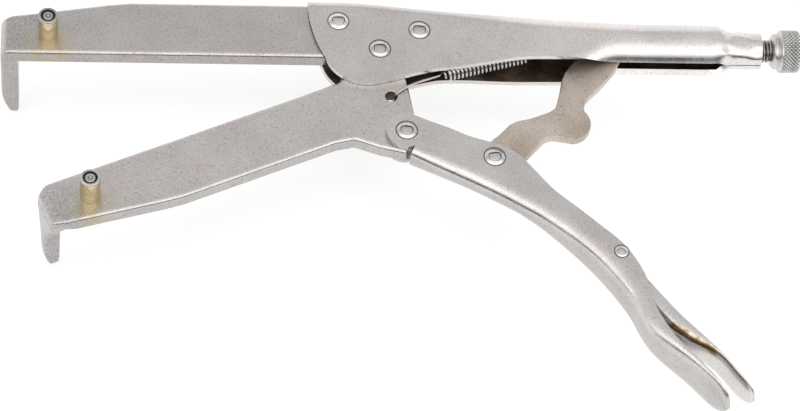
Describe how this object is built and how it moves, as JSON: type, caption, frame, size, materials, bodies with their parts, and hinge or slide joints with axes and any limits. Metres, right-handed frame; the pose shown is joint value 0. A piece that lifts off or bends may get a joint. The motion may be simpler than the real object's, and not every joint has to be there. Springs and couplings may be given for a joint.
{
  "type": "locking pliers",
  "caption": "Locking pliers with two long hooked arms, a stud pin on each arm, a toggle lever with release, return spring and knurled adjusting screw.",
  "frame": {"origin": "where the axis of the upper stud pin meets the front face of the upper arm", "axes": "+X along the fixed handle from the arms towards the adjusting screw, +Z out of the plier plane on the side of the stud pins, +Y from the lower arm towards the upper arm"},
  "size_m": [0.334, 0.1929, 0.0572],
  "materials": {
    "nickel_arm": "satin nickel plate over forged steel, fine pitting",
    "nickel_sheet": "satin nickel plate over pressed sheet",
    "link_steel": "dull warm steel plate",
    "yellow_zinc": "satin yellow passivated sleeve",
    "bare_steel": "turned steel",
    "rivet_steel": "polished domed rivet",
    "spring_steel": "bright spring wire",
    "knurled_steel": "diamond knurled nickel plate"
  },
  "bodies": {
    "handle_body": {"fixed_handle": "nickel_sheet", "upper_jaw": "nickel_arm", "upper_pin_stud": "bare_steel", "upper_pin_sleeve": "yellow_zinc", "front_jaw_rivet": "rivet_steel", "rear_jaw_rivet": "rivet_steel", "jaw_pivot_rivet": "rivet_steel", "return_spring": "spring_steel"},
    "lower_jaw_body": {"lower_jaw": "nickel_arm", "lower_pin_stud": "bare_steel", "lower_pin_sleeve": "yellow_zinc"},
    "lever_body": {"lever_handle": "nickel_sheet", "lever_pivot_rivet": "rivet_steel", "link_rivet": "rivet_steel", "link_spacer_front": "bare_steel", "link_spacer_rear": "bare_steel", "release_rivet": "rivet_steel"},
    "link_body": {"toggle_link": "link_steel"},
    "release_body": {"release_lever": "nickel_sheet"},
    "screw_body": {"adjusting_screw": "bare_steel"},
    "knob_body": {"screw_knob": "knurled_steel"}
  },
  "joints": [
    {"name": "jaw_close", "type": "hinge", "parent": "handle_body", "child": "lower_jaw_body", "pos_m": [0.1361, -0.0065, -0.0035], "axis": [0, 0, -1], "range_deg": [0, 24], "stiffness_Nm_per_rad": 0.6, "springref_deg": -20.05, "deforming": ["return_spring"]},
    {"name": "lever_fold", "type": "hinge", "parent": "lower_jaw_body", "child": "lever_body", "pos_m": [0.1454, -0.0471, -0.0035], "axis": [0, 0, 1], "range_deg": [0, 66]},
    {"name": "link_fold", "type": "hinge", "parent": "lever_body", "child": "link_body", "pos_m": [0.1806, -0.0596, -0.0035], "axis": [0, 0, -1], "range_deg": [0, 64]},
    {"name": "release_squeeze", "type": "hinge", "parent": "lever_body", "child": "release_body", "pos_m": [0.2279, -0.107, -0.0035], "axis": [0, 0, -1], "range_deg": [0, 5]},
    {"name": "screw_travel", "type": "slide", "parent": "handle_body", "child": "screw_body", "axis": [1, 0, 0], "range_m": [0, 0.012]},
    {"name": "screw_turn", "type": "hinge", "parent": "screw_body", "child": "knob_body", "pos_m": [0.3015, -0.001, -0.0035], "axis": [1, 0, 0], "range_deg": [0, 2880]}
  ],
  "couplings": [
    {"joint": "lever_fold", "follows": "jaw_close", "ratio": 2.75},
    {"joint": "link_fold", "follows": "jaw_close", "ratio": 2.6666},
    {"joint": "screw_turn", "follows": "screw_travel", "rad_per_m": 4188.8}
  ]
}
